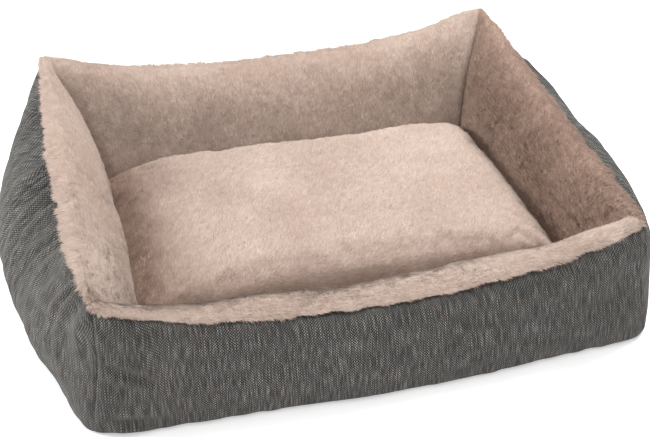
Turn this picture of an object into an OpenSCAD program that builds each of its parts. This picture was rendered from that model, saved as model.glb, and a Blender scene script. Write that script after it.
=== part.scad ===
// Rectangular pet bed: four stuffed walls round a padded floor, and a loose cushion in the well.
// Millimetres. The origin is on the ground under the middle of the bed, +Z up, front wall at -Y.

/* [Footprint] */
// Distance between the foot corners along the front and back walls (X)
foot_length = 652; // [600:1:700]
// Distance between the foot corners along the side walls (Y)
foot_width = 560; // [520:1:600]
// How far the belly of each side wall stands out, halfway along
side_belly = 78; // [40:1:90]
// How far the foot of the front and back walls bows out, halfway along
end_bow = 26; // [10:1:32]

/* [Walls] */
// Height of the two front corners
front_height = 154; // [130:1:180]
// Height of the two back corners
back_height = 208; // [180:1:240]
// How far the front rim dips between its corners
front_dip = 37; // [10:1:45]
// How far the back rim dips between its corners
back_dip = 43; // [10:1:60]
// Thickness of the woven outer cloth
canvas_thickness = 1.2; // [0.8:0.1:2]
// Thickness of the plush lining's backing and packed pile
plush_thickness = 3; // [2:0.5:5]

/* [Base] */
// Thickness of the non-slip cloth under the bed
base_thickness = 1.5; // [1:0.1:3]
// Thickness of the wadding in the floor
padding_thickness = 10; // [6:1:14]
// Thickness of the cloth over the floor wadding
floor_cloth = 2.5; // [1:0.5:4]

/* [Cushion] */
// Length of the loose cushion (X)
cushion_length = 504; // [460:1:504]
// Width of the loose cushion (Y)
cushion_width = 320; // [300:1:322]
// Height of the cushion's side seam above the ground
seam_level = 60; // [50:1:66]
// Rise of the cushion's crown above its side seam
crown = 39; // [30:1:50]

/* [Zip] */
// Length of the row of teeth in the cushion's back edge
zip_length = 300; // [200:1:320]
// Width of the closed row of teeth
teeth_width = 4; // [3:0.5:6]
// Height of the teeth off the tape
teeth_height = 1.8; // [1.5:0.1:2.5]
// Distance from one tooth to the next
teeth_pitch = 5; // [2.5:0.5:10]

/* [Hidden] */

canvas_grey = [0.34, 0.35, 0.34];
plush_beige = [0.83, 0.75, 0.70];
fibre_white = [0.95, 0.95, 0.93];
base_black = [0.16, 0.16, 0.17];
tape_grey = [0.28, 0.29, 0.29];
zip_metal = [0.62, 0.60, 0.56];

// Air left between a skin and what it covers, and between two panels at a corner
fit_gap = 0.2;
foot_x = foot_length / 2;
foot_y = foot_width / 2;
// The well between the walls, at the floor
well_x = 256;
well_back = 151;
well_front = 174;
ground_clear = base_thickness + fit_gap;

// The wall's cross-section, from its outer foot over the rim and down to the well.
// Each row is where the corner section lies: share of the way from foot to well in X,
// the same in Y, and share of the corner's height.
corner_rows = [
    [0.00, 0.00, 0.00],
    [0.05, 0.00, 0.25],
    [0.10, 0.04, 0.48],
    [0.12, 0.04, 0.78],
    [0.12, 0.12, 0.95],
    [0.13, 0.22, 0.99],
    [0.21, 0.29, 1.00],
    [0.32, 0.41, 0.92],
    [0.65, 0.65, 0.70],
    [0.87, 0.83, 0.47],
    [0.98, 0.97, 0.24],
    [1.00, 1.00, 0.00]];
seam_row = 4;
last_row = 11;
// How far the outer cloth stops short of the plush at their seam, as a share of a row
seam_share = 0.01;
// How far the same rows move halfway along a wall: outwards, as a share of the wall's own
// largest bow, and up or down, as a share of its dip.
side_rows = [[0.58, 0], [0.88, 0], [1, -0.1], [0.68, -0.35], [0.22, -0.42], [0.08, -0.2],
    [0, -0.05], [-0.1, 0], [-0.08, 0], [-0.05, 0], [-0.03, 0], [0, 0]];
end_rows = [[1, 0], [0.93, -0.08], [0.8, -0.3], [0.62, -0.7], [0.45, -1], [0.22, -1.03],
    [0.02, -1], [-0.12, -0.88], [-0.15, -0.62], [-0.1, -0.3], [-0.02, -0.07], [0, 0]];
side_dip = 40;

// Points along the section between two rows, and stations along a wall
row_steps = 2;
stations = 12;

// Each wall: signs of its first and last corner, rows, bow, dip and how square the bow is
front_wall = [[-1, -1], [1, -1], end_rows, end_bow, front_dip, 2.3];
right_wall = [[1, -1], [1, 1], side_rows, side_belly, side_dip, 2.6];
back_wall = [[1, 1], [-1, 1], end_rows, end_bow, back_dip, 2.5];
left_wall = [[-1, 1], [-1, -1], side_rows, side_belly, side_dip, 2.6];

function mix(a, b, k) = a + (b - a) * k;

// A smooth curve through the rows of a table, read at row number r
function smooth_row(rows, r) =
    let (last = len(rows) - 1,
        i = min(floor(r), last - 1),
        f = r - i,
        p0 = rows[max(i - 1, 0)],
        p1 = rows[i],
        p2 = rows[i + 1],
        p3 = rows[min(i + 2, last)])
    0.5 * (2 * p1 + (p2 - p0) * f
        + (2 * p0 - 5 * p1 + 4 * p2 - p3) * f * f
        + (3 * p1 - p0 - 3 * p2 + p3) * f * f * f);

function corner_height(sign_y) = sign_y > 0 ? back_height : front_height;
function well_y(sign_y) = sign_y > 0 ? well_back : well_front;

function corner_point(signs, r) =
    let (k = smooth_row(corner_rows, r))
    [signs[0] * mix(foot_x, well_x, k[0]),
        signs[1] * mix(foot_y, well_y(signs[1]), k[1]),
        ground_clear + k[2] * (corner_height(signs[1]) - ground_clear)];

function bow_share(wall, t) = 1 - pow(abs(2 * t - 1), wall[5]);
function along_x(wall) = wall[0][1] == wall[1][1];

// Section of a wall seen end on: distance outwards and height, for working out its normal
function flat_point(wall, r, t) =
    let (k = smooth_row(corner_rows, r),
        d = smooth_row(wall[2], r) * bow_share(wall, t),
        width = (foot_x - well_x + foot_y - (well_back + well_front) / 2) / 2,
        height = mix(corner_height(wall[0][1]), corner_height(wall[1][1]), t))
    [d[0] * wall[3] - width * (k[0] + k[1]) / 2, k[2] * height + d[1] * wall[4]];

function flat_normal(wall, r, t) =
    let (a = flat_point(wall, max(r - 0.2, 0), t),
        b = flat_point(wall, min(r + 0.2, last_row), t),
        e = b - a)
    [e[1], -e[0]] / norm(e);

// A point of a wall's skin, a depth under its outer surface
function wall_point(wall, r, t, depth) =
    let (p = mix(corner_point(wall[0], r), corner_point(wall[1], r), t),
        d = smooth_row(wall[2], r) * bow_share(wall, t),
        n = flat_normal(wall, r, t) * depth,
        out = d[0] * wall[3] - n[0],
        side = mix(wall[0], wall[1], t),
        z = p[2] + d[1] * wall[4] - n[1])
    along_x(wall)
        ? [p[0] - side[0] * n[0], p[1] + side[1] * out, max(z, ground_clear)]
        : [p[0] + side[0] * out, p[1] - side[1] * n[0], max(z, ground_clear)];

// A closed solid through rings of points, each with the same even number of points. From point
// number turn on, a ring runs back along its own first part, and its cells are cut the other way,
// so that a skin's two faces and the solid it covers all bend along the same lines.
module loft(rings, turn) {
    m = len(rings[0]);
    last = len(rings) - 1;
    sides = [for (j = [0:last - 1], i = [0:m - 1])
        let (a = j * m + i,
            b = j * m + (i + 1) % m,
            c = b + m,
            d = a + m)
        each i < turn ? [[a, b, c], [a, c, d]] : [[a, b, d], [b, c, d]]];
    first_cap = [for (i = [0:m / 2 - 2])
        each [[i + 1, i, m - 1 - i], [i + 1, m - 1 - i, m - 2 - i]]];
    // The last cap is cut along the same diagonals, so that two walls nest where they meet
    last_cap = [for (face = first_cap) [for (k = [2:-1:0]) last * m + face[k]]];
    polyhedron(points = [for (ring = rings) each ring],
        faces = concat(sides, first_cap, last_cap), convexity = 6);
}

// Shares of a wall's length at which every layer has its rings, so that the layers nest.
// The first and last stand a gap clear of the corner.
function ring_shares(wall) =
    let (e = fit_gap / (along_x(wall) ? foot_length : foot_width))
    [for (j = [0:stations]) mix(e, 1 - e, j / stations)];

// A skin of even thickness on a wall, between two rows of its section
module wall_skin(wall, from_row, to_row, thickness) {
    steps = ceil((to_row - from_row) * row_steps);
    rows = [for (i = [0:steps]) min(from_row + i / row_steps, to_row)];
    loft(turn = steps + 1, rings = [for (t = ring_shares(wall))
        concat(
            [for (r = rows) wall_point(wall, r, t, 0)],
            [for (i = [steps:-1:0]) wall_point(wall, rows[i], t, thickness)])]);
}

// The fibre inside a wall, just clear of both skins
module wall_core(wall) {
    steps = last_row * row_steps;
    function depth(r) = fit_gap + (r < seam_row ? canvas_thickness : plush_thickness);
    loft(turn = steps + 1, rings = [for (t = ring_shares(wall))
        let (outline = [for (i = [0:steps])
            wall_point(wall, i / row_steps, t, depth(i / row_steps))])
        concat(outline, [(outline[0] + outline[steps]) / 2])]);
}

module outer_panel(wall) {
    color(canvas_grey) wall_skin(wall, 0, seam_row - seam_share, canvas_thickness);
}

module wall_lining(wall) {
    color(plush_beige) wall_skin(wall, seam_row, last_row, plush_thickness);
}

module wall_filling(wall) {
    color(fibre_white) wall_core(wall);
}

// Outline of the bed's foot, all the way round
foot_outline = [for (wall = [front_wall, right_wall, back_wall, left_wall], j = [0:stations - 1])
    let (p = wall_point(wall, 0, j / stations, 0))
    [p[0], p[1]]];

module base_panel() {
    color(base_black) linear_extrude(base_thickness) polygon(foot_outline);
}

// A flat layer that fills the well between the walls
module floor_layer(level, thickness, margin, corner_radius) {
    long = 2 * (well_x - margin - corner_radius);
    front = well_front - margin - corner_radius;
    back = well_back - margin - corner_radius;
    translate([0, (back - front) / 2, level])
        linear_extrude(thickness)
            offset(r = corner_radius) square([long, front + back], center = true);
}

padding_level = base_thickness + fit_gap;
floor_level = padding_level + padding_thickness + fit_gap;
floor_top = floor_level + floor_cloth;

module base_padding() {
    color(fibre_white) floor_layer(padding_level, padding_thickness, 4, 12);
}

module floor_lining() {
    color(plush_beige) floor_layer(floor_level, floor_cloth, 3.6, 12);
}

cushion_middle = (well_back - well_front) / 2;
cushion_under = seam_level - floor_top - 0.5;
cushion_grid = 14;
corner_tuck = 0.045;
edge_power = 8;
crown_fall = 0.28;
// Half the height of the join between the two covers
join_half = 0.6;

// Rounding of the cushion towards its edge, 1 in the middle and 0 at the edge
function edge_round(u) = sqrt(max(0, 1 - pow(abs(u), edge_power)));

// A point on the cushion: u and v run from -1 to 1, side is 1 for the top and -1 for the
// underside, and depth is measured in from the cover's face
function cushion_point(u, v, side, depth) =
    let (x = (cushion_length / 2 - depth) * u * (1 - corner_tuck * pow(abs(v), 6)),
        y = (cushion_width / 2 - depth) * v * (1 - corner_tuck * pow(abs(u), 6)),
        rise = side > 0 ? crown : cushion_under,
        fall = side > 0 ? crown_fall * (u * u + v * v) / 2 : 0,
        lift = (rise - depth - join_half) * edge_round(u) * edge_round(v) * (1 - fall))
    [x, cushion_middle + y, seam_level + side * (join_half + lift)];

// Grid of points on one face of the cushion, closer together towards its edges
function cushion_face(side, depth) = [for (j = [0:cushion_grid], i = [0:cushion_grid])
    cushion_point(sin(mix(-90, 90, i / cushion_grid)), sin(mix(-90, 90, j / cushion_grid)),
        side, depth)];

// A closed solid between an upper and a lower grid of points
module slab(upper, lower) {
    n = cushion_grid + 1;
    shift = n * n;
    cells = [for (j = [0:n - 2], i = [0:n - 2]) j * n + i];
    // Each cell is cut along the diagonal that runs towards the nearest corner
    function halves(c) =
        let (i = c % n,
            j = floor(c / n),
            leans = (2 * i + 1 < n - 1) == (2 * j + 1 < n - 1))
        leans
            ? [[c, c + n, c + n + 1], [c, c + n + 1, c + 1]]
            : [[c, c + n, c + 1], [c + 1, c + n, c + n + 1]];
    top = [for (c = cells) each halves(c)];
    bottom = [for (f = top) [f[0] + shift, f[2] + shift, f[1] + shift]];
    edge = concat(
        [for (i = [0:n - 2]) i],
        [for (j = [0:n - 2]) j * n + n - 1],
        [for (i = [n - 1:-1:1]) (n - 1) * n + i],
        [for (j = [n - 1:-1:1]) j * n]);
    count = len(edge);
    rim = [for (k = [0:count - 1])
        let (a = edge[k],
            b = edge[(k + 1) % count])
        each [[a, b, b + shift], [a, b + shift, a + shift]]];
    polyhedron(points = concat(upper, lower), faces = concat(top, bottom, rim), convexity = 6);
}

module cushion_top_cover() {
    color(plush_beige) slab(cushion_face(1, 0), cushion_face(1, plush_thickness));
}

module cushion_bottom_cover() {
    color(plush_beige) slab(cushion_face(-1, plush_thickness), cushion_face(-1, 0));
}

module cushion_filling() {
    depth = plush_thickness + fit_gap;
    color(fibre_white) slab(cushion_face(1, depth), cushion_face(-1, depth));
}

// The zip lies on the underside of the back edge, where the cover turns in under the seam
zip_drop = 16;
zip_lean = 22;
zip_offset = 1.2;
tape_width = 4;
tape_thickness = 0.6;
zip_place = [0, cushion_middle + cushion_width / 2 - 3, seam_level - zip_drop];

// Puts children on the zip: X along it, Z straight out of the cushion
module on_zip() {
    translate(zip_place) rotate([-90 - zip_lean, 0, 0]) translate([0, 0, zip_offset]) children();
}

module zip_tapes() {
    color(tape_grey) on_zip()
        for (side = [-1, 1])
            translate([-zip_length / 2 - 8, side * (tape_width + 0.4) / 2 - tape_width / 2, 0])
                cube([zip_length + 16, tape_width, tape_thickness]);
}

module zip_teeth() {
    count = floor(zip_length / teeth_pitch);
    color(tape_grey) on_zip()
        for (k = [0:count - 1])
            translate([-zip_length / 2 + k * teeth_pitch, -teeth_width / 2, tape_thickness])
                cube([teeth_pitch * 0.7, teeth_width, teeth_height]);
}

module zip_stops() {
    color(zip_metal) on_zip()
        for (end = [-1, 1])
            translate([end * (zip_length / 2 + 4) - 1.5, -teeth_width / 2, tape_thickness])
                cube([3, teeth_width, teeth_height]);
}

slider_length = 9;
slider_width = 8;
slider_wall = 1;
slider_gap = 0.4;

// A slider without a pull tab: a roof over the teeth, two flanges and a low bridge to grip
module zip_slider() {
    roof = tape_thickness + teeth_height + slider_gap;
    inner = slider_width - 2 * slider_wall;
    color(zip_metal) on_zip()
        translate([zip_length / 2 - slider_length, 0, 0]) {
            translate([0, -slider_width / 2, roof]) cube([slider_length, slider_width, slider_wall]);
            for (side = [-1, 1])
                translate([0, side * (inner + slider_wall) / 2 - slider_wall / 2,
                    tape_thickness + slider_gap])
                    cube([slider_length, slider_wall, roof - tape_thickness - slider_gap]);
            translate([slider_length / 2, 0, roof + slider_wall])
                rotate([0, 90, 0])
                    cylinder(h = slider_length * 0.6, r = 0.9, center = true, $fn = 24);
        }
}

outer_panel(front_wall);  // outer_panel_front
outer_panel(right_wall);  // outer_panel_right
outer_panel(back_wall);  // outer_panel_back
outer_panel(left_wall);  // outer_panel_left
wall_lining(front_wall);  // wall_lining_front
wall_lining(right_wall);  // wall_lining_right
wall_lining(back_wall);  // wall_lining_back
wall_lining(left_wall);  // wall_lining_left
wall_filling(front_wall);  // wall_filling_front
wall_filling(right_wall);  // wall_filling_right
wall_filling(back_wall);  // wall_filling_back
wall_filling(left_wall);  // wall_filling_left
base_panel();
base_padding();
floor_lining();
cushion_top_cover();
cushion_bottom_cover();
cushion_filling();
zip_tapes();
zip_teeth();
zip_stops();
zip_slider();
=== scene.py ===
"""A walled pet bed: canvas outside, plush inside, and a loose plush cushion in the well. Metres."""
import math

import bpy
import numpy as np
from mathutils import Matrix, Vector


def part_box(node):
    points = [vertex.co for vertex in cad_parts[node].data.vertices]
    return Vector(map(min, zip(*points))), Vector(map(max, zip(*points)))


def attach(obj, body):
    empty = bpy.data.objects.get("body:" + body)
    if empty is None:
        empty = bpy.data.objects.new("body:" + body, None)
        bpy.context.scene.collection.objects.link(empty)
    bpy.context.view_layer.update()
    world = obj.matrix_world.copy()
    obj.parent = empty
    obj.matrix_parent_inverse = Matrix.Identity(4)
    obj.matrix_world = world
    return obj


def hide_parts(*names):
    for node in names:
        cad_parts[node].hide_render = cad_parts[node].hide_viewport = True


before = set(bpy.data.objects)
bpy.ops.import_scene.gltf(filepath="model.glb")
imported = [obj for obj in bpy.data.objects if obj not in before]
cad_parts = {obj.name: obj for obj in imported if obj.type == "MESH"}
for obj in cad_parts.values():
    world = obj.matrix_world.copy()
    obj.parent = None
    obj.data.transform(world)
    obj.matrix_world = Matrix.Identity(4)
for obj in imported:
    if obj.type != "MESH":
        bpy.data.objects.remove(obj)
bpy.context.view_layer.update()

MM = 0.001
scene = bpy.context.scene

# ---------------------------------------------------------------- sizes, from the frame

FOOT_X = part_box("outer_panel_front")[1].x
FOOT_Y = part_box("outer_panel_left")[1].y
FRONT_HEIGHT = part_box("wall_lining_front")[1].z
BACK_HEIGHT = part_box("wall_lining_back")[1].z
END_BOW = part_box("base_panel")[1].y - FOOT_Y
CUSHION_LOW, CUSHION_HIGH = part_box("cushion_filling")
COVER_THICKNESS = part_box("cushion_top_cover")[1].z - CUSHION_HIGH.z
SEAM_LEVEL = (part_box("cushion_top_cover")[0].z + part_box("cushion_bottom_cover")[1].z) / 2
FLOOR_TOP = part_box("floor_lining")[1].z
BASE_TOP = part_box("base_panel")[1].z
WELL_X = 256 * MM
WELL_BACK = 151 * MM
WELL_FRONT = 174 * MM
SIDE_BELLY = 78 * MM
FRONT_DIP = 37 * MM
BACK_DIP = 43 * MM
SIDE_DIP = 40 * MM

# The walls' section from the outer foot over the rim to the well: for each row, the corner
# section's share of the way from foot to well in X and in Y, and its share of the height.
CORNER_ROWS = np.array([
    [0.00, 0.00, 0.00], [0.05, 0.00, 0.25], [0.10, 0.04, 0.48], [0.12, 0.04, 0.78],
    [0.12, 0.12, 0.95], [0.13, 0.22, 0.99], [0.21, 0.29, 1.00], [0.32, 0.41, 0.92],
    [0.65, 0.65, 0.70], [0.87, 0.83, 0.47], [0.98, 0.97, 0.24], [1.00, 1.00, 0.00]])
# How far the rows move halfway along a wall: outwards as a share of its bow, up as one of its dip.
SIDE_ROWS = np.array([
    [0.58, 0], [0.88, 0], [1, -0.1], [0.68, -0.35], [0.22, -0.42], [0.08, -0.2],
    [0, -0.05], [-0.1, 0], [-0.08, 0], [-0.05, 0], [-0.03, 0], [0, 0]])
END_ROWS = np.array([
    [1, 0], [0.93, -0.08], [0.8, -0.3], [0.62, -0.7], [0.45, -1], [0.22, -1.03],
    [0.02, -1], [-0.12, -0.88], [-0.15, -0.62], [-0.1, -0.3], [-0.02, -0.07], [0, 0]])
SEAM_ROW = 4.5
# How many rows lower the seam lies halfway along a wall
SEAM_DROP = {"front": 0.35, "back": 0.6}
LAST_ROW = 11

# name, first corner, last corner, rows, bow, dip and how square the bow is
WALLS = [
    ("front", (-1, -1), (1, -1), END_ROWS, END_BOW, FRONT_DIP, 2.3),
    ("right", (1, -1), (1, 1), SIDE_ROWS, SIDE_BELLY, SIDE_DIP, 2.6),
    ("back", (1, 1), (-1, 1), END_ROWS, END_BOW, BACK_DIP, 2.5),
    ("left", (-1, 1), (-1, -1), SIDE_ROWS, SIDE_BELLY, SIDE_DIP, 2.6),
]
SIDES = [wall[0] for wall in WALLS]


# ---------------------------------------------------------------- small helpers

def unit(vectors):
    return vectors / np.maximum(np.linalg.norm(vectors, axis=-1, keepdims=True), 1e-12)


def mix(a, b, k):
    return a + (b - a) * k


def smoothstep(low, high, x):
    k = np.clip((x - low) / (high - low), 0, 1)
    return k * k * (3 - 2 * k)


def lattice(cells, seed):
    """A repeatable random number from -1 to 1 for each whole-numbered cell."""
    big = np.uint64(0xFFFFFFFF)
    h = (cells[..., 0].astype(np.int64) * 73856093) ^ (cells[..., 1].astype(np.int64) * 19349663)
    h = (h ^ (cells[..., 2].astype(np.int64) * 83492791) ^ (seed * 2654435761)).astype(np.uint64) & big
    h = ((h ^ (h >> np.uint64(15))) * np.uint64(2246822519)) & big
    h = ((h ^ (h >> np.uint64(13))) * np.uint64(3266489917)) & big
    h = h ^ (h >> np.uint64(16))
    return h.astype(float) / float(0x7FFFFFFF) - 1


def noise(points, lump, seed=0):
    """Smooth noise from -1 to 1 whose lumps are about that many metres across."""
    q = np.asarray(points, float) / lump
    cell = np.floor(q)
    f = q - cell
    f = f * f * f * (f * (f * 6 - 15) + 10)
    total = np.zeros(q.shape[:-1])
    for corner in range(8):
        step = np.array([(corner >> k) & 1 for k in range(3)])
        share = np.where(step == 1, f, 1 - f).prod(axis=-1)
        total += share * lattice(cell + step, seed)
    return total


def flat3(*columns):
    """Columns of coordinates as points for noise(); what is missing is 0."""
    columns = np.broadcast_arrays(*columns)
    missing = [np.zeros_like(columns[0])] * (3 - len(columns))
    return np.stack([*columns, *missing], axis=-1)


def smooth_rows(rows, r):
    """A smooth curve through a table's rows, read at row numbers r."""
    last = len(rows) - 1
    i = np.clip(np.floor(r).astype(int), 0, last - 1)
    f = (r - i)[..., None]
    p0, p1 = rows[np.maximum(i - 1, 0)], rows[i]
    p2, p3 = rows[i + 1], rows[np.minimum(i + 2, last)]
    return 0.5 * (2 * p1 + (p2 - p0) * f + (2 * p0 - 5 * p1 + 4 * p2 - p3) * f ** 2
                  + (3 * p1 - p0 - 3 * p2 + p3) * f ** 3)


def corner_points(signs, r):
    k = smooth_rows(CORNER_ROWS, r)
    well = WELL_BACK if signs[1] > 0 else WELL_FRONT
    height = BACK_HEIGHT if signs[1] > 0 else FRONT_HEIGHT
    return np.stack([signs[0] * mix(FOOT_X, WELL_X, k[..., 0]),
                     signs[1] * mix(FOOT_Y, well, k[..., 1]),
                     BASE_TOP + k[..., 2] * (height - BASE_TOP)], axis=-1)


def wall_surface(wall, r, t):
    """Points of a wall's skin at section rows r and shares t of its length."""
    side, first, last, rows, bow, dip, power = wall
    r, t = np.broadcast_arrays(r, t)
    middle = 1 - np.abs(2 * t - 1) ** 8
    r = r - SEAM_DROP.get(side, 0) * middle * np.exp(-((r - SEAM_ROW) / 1.3) ** 2)
    share = (1 - np.abs(2 * t - 1) ** power)[..., None]
    move = smooth_rows(rows, r) * share
    points = mix(corner_points(first, r), corner_points(last, r), t[..., None])
    axis = 1 if first[1] == last[1] else 0
    points[..., axis] += first[axis] * move[..., 0] * bow
    points[..., 2] += move[..., 1] * dip
    return points


def grid_normals(points, closed=False):
    """Unit normals of a grid of points: rows run up the section, columns run round the bed."""
    if closed:
        along = np.roll(points, -1, axis=1) - np.roll(points, 1, axis=1)
    else:
        along = np.gradient(points, axis=1)
    return unit(np.cross(along, np.gradient(points, axis=0)))


def arc_lengths(points, axis):
    """Distance run along one axis of a grid of points."""
    step = np.linalg.norm(np.diff(points, axis=axis), axis=-1)
    start = np.zeros_like(np.take(step, [0], axis=axis))
    return np.concatenate([start, np.cumsum(step, axis=axis)], axis=axis)


# ---------------------------------------------------------------- making objects

def make_object(name, verts, faces, uvs=None, smooth=True):
    """A mesh object from arrays. faces is (n, 3) or (n, 4); uvs has one pair per vertex."""
    verts, faces = np.asarray(verts, np.float32), np.asarray(faces, np.int32)
    sides = faces.shape[1]
    mesh = bpy.data.meshes.new(name)
    mesh.vertices.add(len(verts))
    mesh.vertices.foreach_set("co", verts.ravel())
    mesh.loops.add(faces.size)
    mesh.loops.foreach_set("vertex_index", faces.ravel())
    mesh.polygons.add(len(faces))
    mesh.polygons.foreach_set("loop_start", np.arange(0, faces.size, sides, dtype=np.int32))
    mesh.polygons.foreach_set("loop_total", np.full(len(faces), sides, np.int32))
    mesh.update(calc_edges=True)
    mesh.polygons.foreach_set("use_smooth", np.full(len(faces), smooth))
    if uvs is not None:
        layer = mesh.uv_layers.new(name="Cloth")
        layer.data.foreach_set("uv", np.asarray(uvs, np.float32)[faces.ravel()].ravel())
    obj = bpy.data.objects.new(name, mesh)
    scene.collection.objects.link(obj)
    return obj


def grid_faces(rows, columns, closed=False, offset=0):
    """Quads of a grid of vertices numbered row by row."""
    last = columns if closed else columns - 1
    i, j = np.meshgrid(np.arange(rows - 1), np.arange(last), indexing="ij")
    j2 = (j + 1) % columns
    quads = np.stack([i * columns + j, i * columns + j2, (i + 1) * columns + j2,
                      (i + 1) * columns + j], axis=-1)
    return quads.reshape(-1, 4) + offset


def cloth_object(name, points, cloth_uv, thickness=0.0):
    """A sheet of cloth from a grid of points; with a thickness it is a closed thin shell."""
    rows, columns = points.shape[:2]
    faces = grid_faces(rows, columns)
    verts, uv = points.reshape(-1, 3), cloth_uv.reshape(-1, 2)
    if thickness:
        inner = (points - grid_normals(points) * thickness).reshape(-1, 3)
        n = rows * columns
        index = np.arange(n).reshape(rows, columns)
        edge = np.concatenate([index[0, :-1], index[:-1, -1], index[-1, :0:-1], index[:0:-1, 0]])
        after = np.roll(edge, -1)
        rim = np.stack([edge, edge + n, after + n, after], axis=-1)
        faces = np.concatenate([faces, faces[:, ::-1] + n, rim])
        verts, uv = np.concatenate([verts, inner]), np.concatenate([uv, uv])
    return make_object(name, verts, faces, uv)


# ---------------------------------------------------------------- cloth simulation

def simulate(verts, faces, pinned, pressure, slack, cap, bending, frames=18):
    """How far each vertex of a stuffed cloth moves when its fill presses and its cloth is a
    little too large. Pinned vertices stay, and no vertex moves further than cap."""
    obj = make_object("cloth_run", verts, faces)
    pins = obj.vertex_groups.new(name="pins")
    pins.add(np.flatnonzero(pinned).tolist(), 1.0, "REPLACE")
    cloth = obj.modifiers.new("Cloth", "CLOTH")
    settings = cloth.settings
    settings.quality = 6
    settings.mass = 0.15
    settings.tension_stiffness = settings.compression_stiffness = 20
    settings.shear_stiffness = 8
    settings.bending_stiffness = bending
    settings.use_pressure = True
    settings.uniform_pressure_force = pressure
    settings.shrink_min = -slack
    settings.vertex_group_mass = "pins"
    settings.effector_weights.gravity = 0
    for frame_number in range(1, frames + 1):
        scene.frame_set(frame_number)
    solved = obj.evaluated_get(bpy.context.evaluated_depsgraph_get()).to_mesh()
    moved = np.empty(len(verts) * 3, np.float32)
    solved.vertices.foreach_get("co", moved)
    mesh = obj.data
    bpy.data.objects.remove(obj)
    bpy.data.meshes.remove(mesh)
    scene.frame_set(1)
    shift = moved.reshape(-1, 3) - verts
    length = np.linalg.norm(shift, axis=-1, keepdims=True)
    return shift * (cap * np.tanh(length / cap) / np.maximum(length, 1e-9))


def refine(coarse, rows, columns, closed=False):
    """A coarse grid's values at twice as many places along both of its axes."""
    if closed:
        coarse = np.concatenate([coarse, coarse[:, :1]], axis=1)
    i = np.arange(rows) / 2
    j = np.arange(columns) / 2

    def along(values, places):
        low = np.minimum(places.astype(int), len(values) - 1)
        high = np.minimum(low + 1, len(values) - 1)
        return mix(values[low], values[high], (places - low)[:, None, None])

    fine = along(coarse, i)
    return along(fine.transpose(1, 0, 2), j).transpose(1, 0, 2)


def ring_simulation(grid, seam_columns, pressure, slack, cap, bending, stiff):
    """Lets a closed ring of cloth settle between its pinned edges and corner seams."""
    coarse = grid[::2, ::2]
    rows, columns = coarse.shape[:2]
    pinned = np.zeros((rows, columns), bool)
    pinned[0] = pinned[-1] = True
    pinned[:, np.array(seam_columns) // 2] = True
    shift = simulate(coarse.reshape(-1, 3), grid_faces(rows, columns, closed=True),
                     pinned.ravel(), pressure, slack, cap, bending)
    shift = smooth_round(shift.reshape(coarse.shape), stiff)
    shift = round_over(shift, stiff)
    return refine(shift, *grid.shape[:2], closed=True)


# ---------------------------------------------------------------- the ring of four walls

COLUMNS = {"front": 264, "right": 232, "back": 264, "left": 232}


def section_rows(first, last, count):
    """Row numbers from first to last, evenly spaced along the section of a typical wall."""
    r = np.linspace(first, last, 600)
    lengths = []
    for wall in WALLS:
        line = wall_surface(wall, r, np.array(0.3))
        lengths.append(np.concatenate([[0], np.cumsum(np.linalg.norm(np.diff(line, axis=0), axis=1))]))
    run = np.mean([length / length[-1] for length in lengths], axis=0)
    return np.interp(np.linspace(0, 1, count), run, r)


def ring_grid(r):
    """The skin of all four walls as one closed grid, with each column's wall and share."""
    parts, wall_of, share = [], [], []
    for k, wall in enumerate(WALLS):
        count = COLUMNS[wall[0]]
        t = np.arange(count) / count
        parts.append(wall_surface(wall, r[:, None], t[None, :]))
        wall_of += [k] * count
        share += list(t)
    return np.concatenate(parts, axis=1), np.array(wall_of), np.array(share)


def smooth_round(points, columns):
    """Softens a closed grid along its rows, over about that many columns."""
    reach = int(3 * columns) + 1
    weights = np.exp(-0.5 * (np.arange(-reach, reach + 1) / columns) ** 2)
    weights /= weights.sum()
    return sum(w * np.roll(points, k - reach, axis=1) for k, w in enumerate(weights))


class Skin:
    """One layer of the ring of walls, with distances measured along the cloth."""

    def __init__(self, first_row, last_row, count, rounding, depth):
        self.r = section_rows(first_row, last_row, count)
        points, self.wall_of, self.share = ring_grid(self.r)
        points = smooth_round(points, rounding)
        points = points - grid_normals(points, closed=True) * depth(self.r)[:, None, None]
        self.set(points)

    def set(self, points):
        self.points = points
        self.up = arc_lengths(points, 0)
        around = np.concatenate([points, points[:, :1]], axis=1)
        self.around = arc_lengths(around, 1)
        starts = np.concatenate([[0], np.cumsum([COLUMNS[s] for s in SIDES])])
        self.starts = starts
        along = np.zeros(points.shape[:2])
        corner = np.zeros(points.shape[:2])
        for k in range(4):
            part = slice(starts[k], starts[k + 1])
            run = self.around[:, part] - self.around[:, starts[k]][:, None]
            whole = (self.around[:, starts[k + 1]] - self.around[:, starts[k]])[:, None]
            along[:, part] = run
            corner[:, part] = np.minimum(run, whole - run)
        self.along, self.corner = along, corner

    def push(self, amount):
        """Moves the skin out along its normals."""
        self.set(self.points + grid_normals(self.points, closed=True) * amount[..., None])

    def panel(self, side, what=None):
        """One wall's part of a grid over the ring, with both of its corner columns."""
        k = SIDES.index(side)
        grid = self.points if what is None else what
        columns = np.arange(self.starts[k], self.starts[k + 1] + 1) % grid.shape[1]
        return grid[:, columns]

    def panel_uv(self, side):
        """Cloth coordinates of one wall in metres: along the wall, and up the section."""
        k = SIDES.index(side)
        first, last = self.starts[k], self.starts[k + 1]
        run = self.around[:, first:last + 1] - self.around[:, [first]]
        middle = run[:, [run.shape[1] // 2]]
        up = self.panel(side, self.up)
        return np.stack([run - middle, up], axis=-1)


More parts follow.
